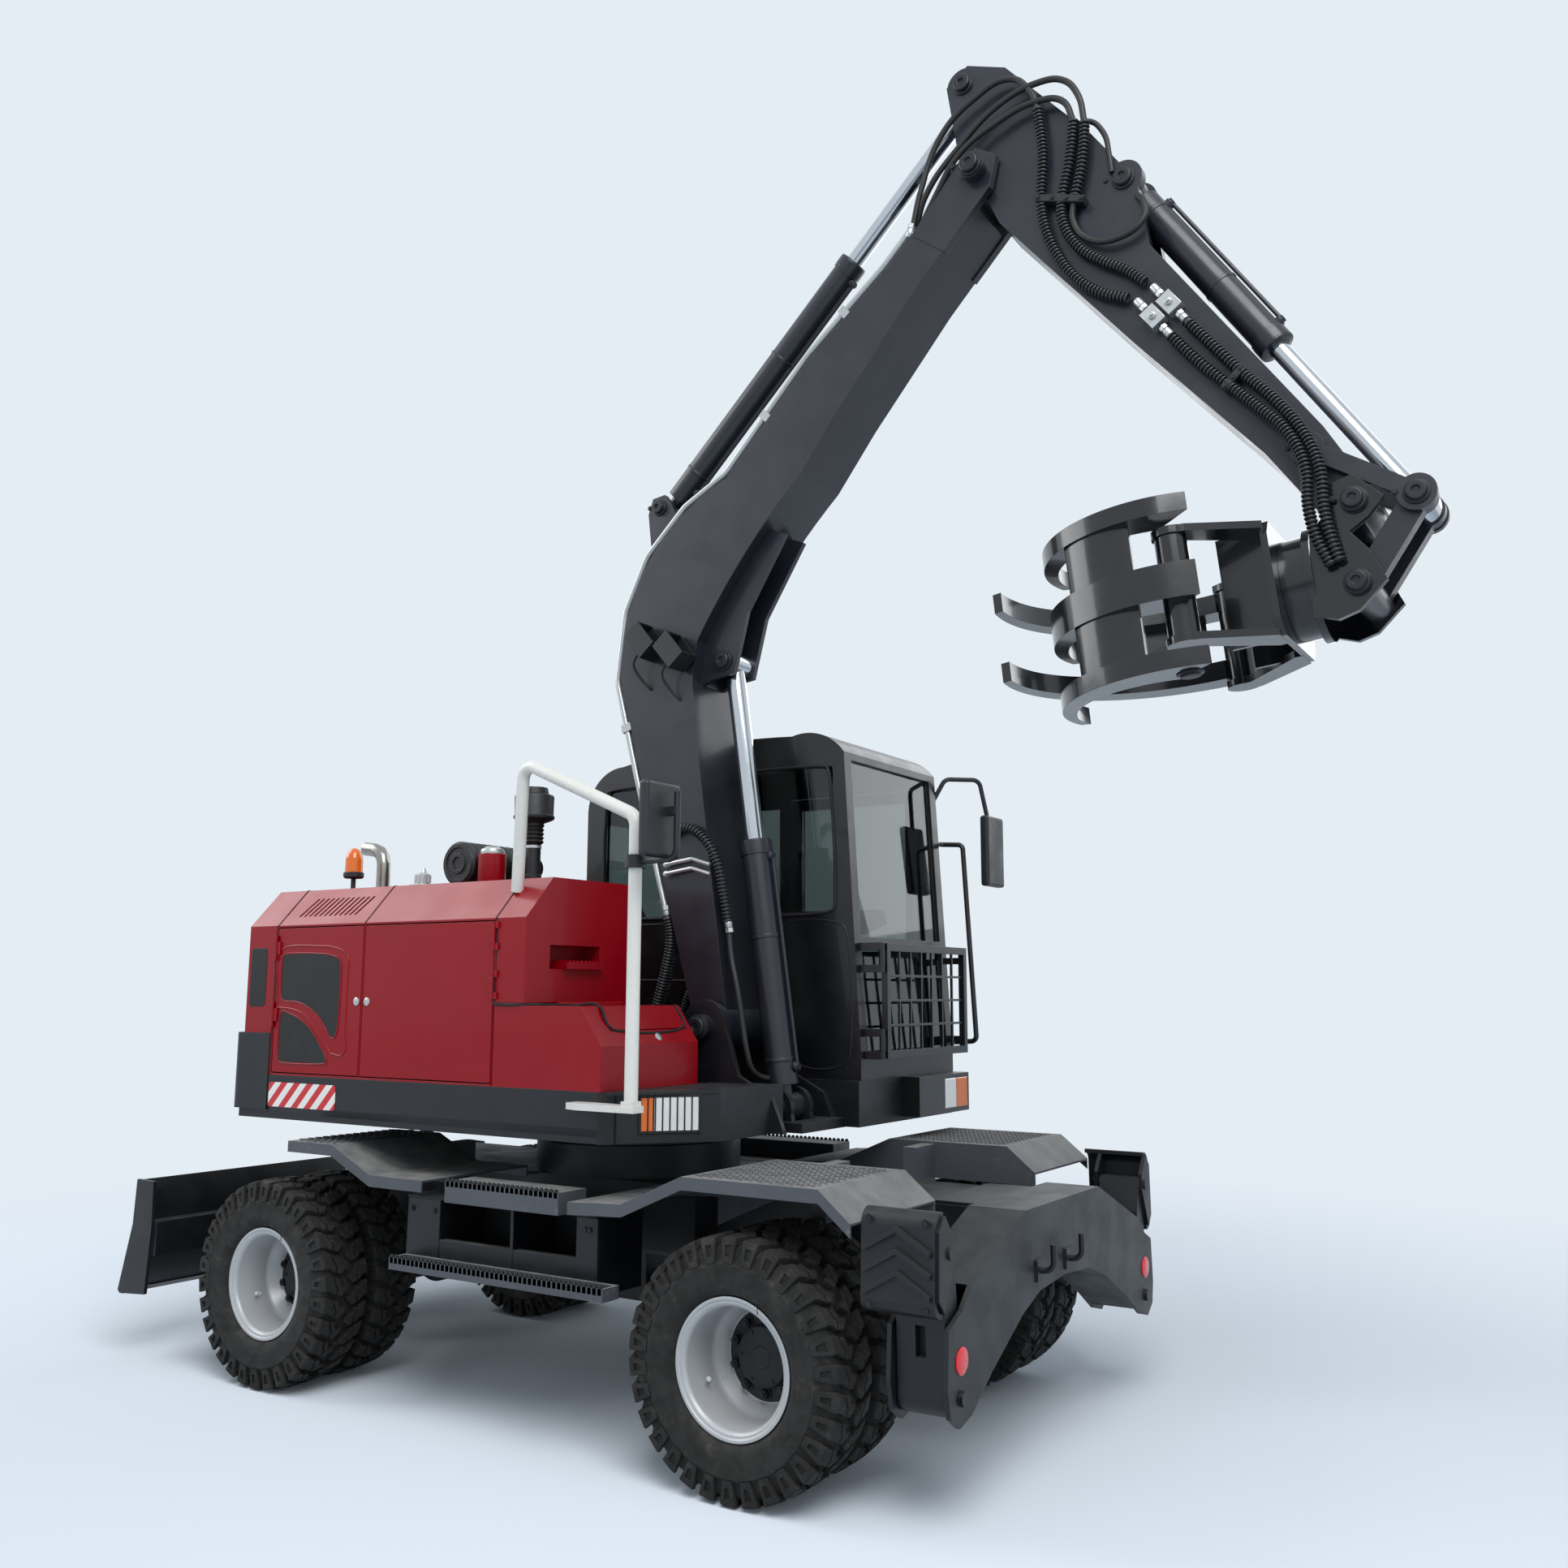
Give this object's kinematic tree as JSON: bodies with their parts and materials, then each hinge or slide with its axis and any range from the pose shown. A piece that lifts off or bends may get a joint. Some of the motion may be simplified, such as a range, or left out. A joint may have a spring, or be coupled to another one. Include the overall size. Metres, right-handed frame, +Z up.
{
  "type": "wheeled excavator with a wood grapple",
  "caption": "Wheeled excavator with a side cab, a raised boom and stick carrying a rotating timber grapple, a dozer blade at one end and folded outriggers at the other.",
  "frame": {"origin": "on the ground under the slewing centre, half way between the axles", "axes": "+X towards the outrigger end, the way cab and boom face; +Y to the machine's left; +Z up"},
  "size_m": [5.635, 2.48, 5.447],
  "materials": {
    "arm_paint": "satin charcoal paint",
    "frame_paint": "satin dark grey paint",
    "hood_paint": "gloss deep red paint",
    "black_paint": "satin black paint",
    "rail_white": "gloss off-white paint",
    "rim_silver": "silver wheel paint",
    "chequer_plate": "grey paint worn on a raised pattern",
    "cast_dark": "painted casting",
    "rod_chrome": "hard chrome",
    "pipe_steel": "plain steel tube",
    "black_mesh": "perforated black sheet",
    "black_plastic": "matte moulded plastic",
    "mirror_black": "matte moulded plastic",
    "seat_plastic": "grained plastic and cloth",
    "cab_glass": "clear tinted glass",
    "tyre_rubber": "dusty rubber"
  },
  "bodies": {
    "chassis": {"chassis_frame": "frame_paint", "side_boxes": "frame_paint", "steps": "chequer_plate", "fenders": "chequer_plate", "outrigger_housing": "frame_paint", "axle_fixed": "cast_dark", "axle_steered": "cast_dark"},
    "knuckle_left": {"knuckle_left": "cast_dark"},
    "knuckle_right": {"knuckle_right": "cast_dark"},
    "wheel_steered_left": {"tyres_steered_left": "tyre_rubber", "rims_steered_left": "rim_silver"},
    "wheel_steered_right": {"tyres_steered_right": "tyre_rubber", "rims_steered_right": "rim_silver"},
    "wheel_fixed_left": {"tyres_fixed_left": "tyre_rubber", "rims_fixed_left": "rim_silver"},
    "wheel_fixed_right": {"tyres_fixed_right": "tyre_rubber", "rims_fixed_right": "rim_silver"},
    "outrigger_left": {"outrigger_left": "frame_paint"},
    "outrigger_right": {"outrigger_right": "frame_paint"},
    "blade": {"dozer_blade": "frame_paint"},
    "blade_barrel": {"blade_barrel": "arm_paint"},
    "blade_rod": {"blade_rod": "rod_chrome"},
    "upper": {"upper_frame": "frame_paint", "counterweight": "frame_paint", "hood_shell": "hood_paint", "hood_grilles": "black_mesh", "engine_block": "cast_dark", "exhaust": "pipe_steel", "roof_fittings": "black_plastic", "tool_box": "hood_paint", "cab_shell": "black_paint", "cab_glass": "cab_glass", "cab_interior": "seat_plastic", "guard_brackets": "black_paint", "handrail": "rail_white", "mirrors": "mirror_black"},
    "hood_door_rear": {"hood_door_rear": "hood_paint"},
    "hood_door_front": {"hood_door_front": "hood_paint"},
    "tool_box_lid": {"tool_box_lid": "hood_paint"},
    "cab_door": {"cab_door": "black_paint", "cab_door_glass": "cab_glass"},
    "guard_frame": {"guard_frame": "black_paint"},
    "boom": {"boom": "arm_paint", "boom_fittings": "pipe_steel"},
    "boom_barrel": {"boom_barrel": "arm_paint"},
    "boom_rod": {"boom_rod": "rod_chrome"},
    "stick": {"stick": "arm_paint"},
    "stick_barrel": {"stick_barrel": "arm_paint"},
    "stick_rod": {"stick_rod": "rod_chrome"},
    "tool_barrel": {"tool_barrel": "arm_paint"},
    "tool_rod": {"tool_rod": "rod_chrome"},
    "rocker": {"rocker": "arm_paint"},
    "push_link": {"push_link": "arm_paint"},
    "grapple_bracket": {"grapple_bracket": "arm_paint"},
    "grapple_frame": {"grapple_frame": "arm_paint"},
    "jaw_left": {"jaw_left": "arm_paint"},
    "jaw_right": {"jaw_right": "arm_paint"}
  },
  "joints": [
    {"name": "steer_left", "type": "hinge", "parent": "chassis", "child": "knuckle_left", "pos_m": [-1.215, 0.47, 0.43], "axis": [0, 0, 1], "range_deg": [-28, 28]},
    {"name": "steer_right", "type": "hinge", "parent": "chassis", "child": "knuckle_right", "pos_m": [-1.215, -0.47, 0.43], "axis": [0, 0, 1], "range_deg": [-28, 28]},
    {"name": "wheel_steered_left_spin", "type": "hinge", "parent": "knuckle_left", "child": "wheel_steered_left", "pos_m": [-1.215, 0.79, 0.43], "axis": [0, 1, 0], "continuous": true},
    {"name": "wheel_steered_right_spin", "type": "hinge", "parent": "knuckle_right", "child": "wheel_steered_right", "pos_m": [-1.215, -0.79, 0.43], "axis": [0, 1, 0], "continuous": true},
    {"name": "wheel_fixed_left_spin", "type": "hinge", "parent": "chassis", "child": "wheel_fixed_left", "pos_m": [1.215, 0.79, 0.43], "axis": [0, 1, 0], "continuous": true},
    {"name": "wheel_fixed_right_spin", "type": "hinge", "parent": "chassis", "child": "wheel_fixed_right", "pos_m": [1.215, -0.79, 0.43], "axis": [0, 1, 0], "continuous": true},
    {"name": "outrigger_left_fold", "type": "hinge", "parent": "chassis", "child": "outrigger_left", "pos_m": [1.883, 0.882, 0.425], "axis": [-1, 0, 0], "range_deg": [0, 128]},
    {"name": "outrigger_right_fold", "type": "hinge", "parent": "chassis", "child": "outrigger_right", "pos_m": [1.883, -0.882, 0.425], "axis": [1, 0, 0], "range_deg": [0, 128]},
    {"name": "blade_lift", "type": "hinge", "parent": "chassis", "child": "blade", "pos_m": [-1.56, 0, 0.47], "axis": [0, 1, 0], "range_deg": [-31, 2]},
    {"name": "blade_barrel_swing", "type": "hinge", "parent": "chassis", "child": "blade_barrel", "pos_m": [-1.412, 0, 0.93], "axis": [0, 1, 0], "range_deg": [-17, 2]},
    {"name": "blade_rod_slide", "type": "slide", "parent": "blade_barrel", "child": "blade_rod", "axis": [-0.9313, 0, -0.3643], "range_m": [-0.02, 0.19]},
    {"name": "swing", "type": "hinge", "parent": "chassis", "child": "upper", "pos_m": [0, 0, 1.1118], "axis": [0, 0, 1], "continuous": true},
    {"name": "hood_door_rear_hinge", "type": "hinge", "parent": "upper", "child": "hood_door_rear", "pos_m": [-1.268, -1.008, 1.7], "axis": [0, 0, -1], "range_deg": [0, 95]},
    {"name": "hood_door_front_hinge", "type": "hinge", "parent": "upper", "child": "hood_door_front", "pos_m": [0.058, -1.008, 1.78], "axis": [0, 0, 1], "range_deg": [0, 95]},
    {"name": "tool_box_lid_hinge", "type": "hinge", "parent": "upper", "child": "tool_box_lid", "pos_m": [0.27, -0.665, 1.6176], "axis": [0, -1, 0], "range_deg": [0, 75]},
    {"name": "cab_door_hinge", "type": "hinge", "parent": "upper", "child": "cab_door", "pos_m": [0.191, 1.008, 2], "axis": [0, 0, 1], "range_deg": [0, 160]},
    {"name": "guard_hinge", "type": "hinge", "parent": "upper", "child": "guard_frame", "pos_m": [1.142, 0.172, 1.63], "axis": [0, 0, -1], "range_deg": [0, 100]},
    {"name": "boom_lift", "type": "hinge", "parent": "upper", "child": "boom", "pos_m": [0.565, -0.092, 1.523], "axis": [0, -1, 0], "range_deg": [-65, 4]},
    {"name": "boom_barrel_swing", "type": "hinge", "parent": "upper", "child": "boom_barrel", "pos_m": [0.835, -0.092, 1.199], "axis": [0, -1, 0], "range_deg": [-57, 4]},
    {"name": "boom_rod_slide", "type": "slide", "parent": "boom_barrel", "child": "boom_rod", "axis": [-0.1437, 0, 0.9896], "range_m": [-0.38, 0.03]},
    {"name": "stick_swing", "type": "hinge", "parent": "boom", "child": "stick", "pos_m": [1.83, -0.092, 4.937], "axis": [0, -1, 0], "range_deg": [-17, 70]},
    {"name": "stick_barrel_swing", "type": "hinge", "parent": "boom", "child": "stick_barrel", "pos_m": [0.187, -0.092, 3.863], "axis": [0, -1, 0], "range_deg": [-1, 3]},
    {"name": "stick_rod_slide", "type": "slide", "parent": "stick_barrel", "child": "stick_rod", "axis": [0.7228, 0, 0.6911], "range_m": [-0.48, 0.12]},
    {"name": "tool_tilt", "type": "hinge", "parent": "stick", "child": "grapple_bracket", "pos_m": [3.175, -0.092, 3.277], "axis": [0, -1, 0], "range_deg": [-5, 110]},
    {"name": "rocker_swing", "type": "hinge", "parent": "stick", "child": "rocker", "pos_m": [3.029, -0.092, 3.504], "axis": [0, -1, 0], "range_deg": [-3, 61]},
    {"name": "push_link_swing", "type": "hinge", "parent": "rocker", "child": "push_link", "pos_m": [3.361, -0.092, 3.282], "axis": [0, -1, 0], "range_deg": [-12, 1]},
    {"name": "tool_barrel_swing", "type": "hinge", "parent": "stick", "child": "tool_barrel", "pos_m": [2.419, -0.092, 4.727], "axis": [0, -1, 0], "range_deg": [-1, 11]},
    {"name": "tool_rod_slide", "type": "slide", "parent": "tool_barrel", "child": "tool_rod", "axis": [0.5461, 0, -0.8377], "range_m": [-0.29, 0.02]},
    {"name": "rotator_turn", "type": "hinge", "parent": "grapple_bracket", "child": "grapple_frame", "pos_m": [2.91, -0.092, 3.044], "axis": [-0.9945, 0, -0.1045], "continuous": true},
    {"name": "jaw_right_hinge", "type": "hinge", "parent": "grapple_frame", "child": "jaw_right", "pos_m": [2.6365, -0.466, 3.0153], "axis": [-0.1045, 0, 0.9945], "range_deg": [-3, 60]},
    {"name": "jaw_left_hinge", "type": "hinge", "parent": "grapple_frame", "child": "jaw_left", "pos_m": [2.6365, 0.282, 3.0153], "axis": [0.1045, 0, -0.9945], "range_deg": [-3, 60]}
  ],
  "couplings": [
    {"joint": "steer_right", "follows": "steer_left", "ratio": 1},
    {"joint": "blade_barrel_swing", "follows": "blade_lift", "ratio": 0.5127},
    {"joint": "blade_rod_slide", "follows": "blade_lift", "m_per_rad": -0.335},
    {"joint": "boom_barrel_swing", "follows": "boom_lift", "ratio": 0.8662},
    {"joint": "boom_rod_slide", "follows": "boom_lift", "m_per_rad": 0.3329},
    {"joint": "stick_barrel_swing", "follows": "stick_swing", "ratio": 0.0303},
    {"joint": "stick_rod_slide", "follows": "stick_swing", "m_per_rad": -0.387},
    {"joint": "rocker_swing", "follows": "tool_tilt", "ratio": 0.55},
    {"joint": "push_link_swing", "follows": "tool_tilt", "ratio": -0.1},
    {"joint": "tool_barrel_swing", "follows": "tool_tilt", "ratio": 0.095},
    {"joint": "tool_rod_slide", "follows": "tool_tilt", "m_per_rad": -0.1475},
    {"joint": "jaw_left_hinge", "follows": "jaw_right_hinge", "ratio": 1}
  ]
}
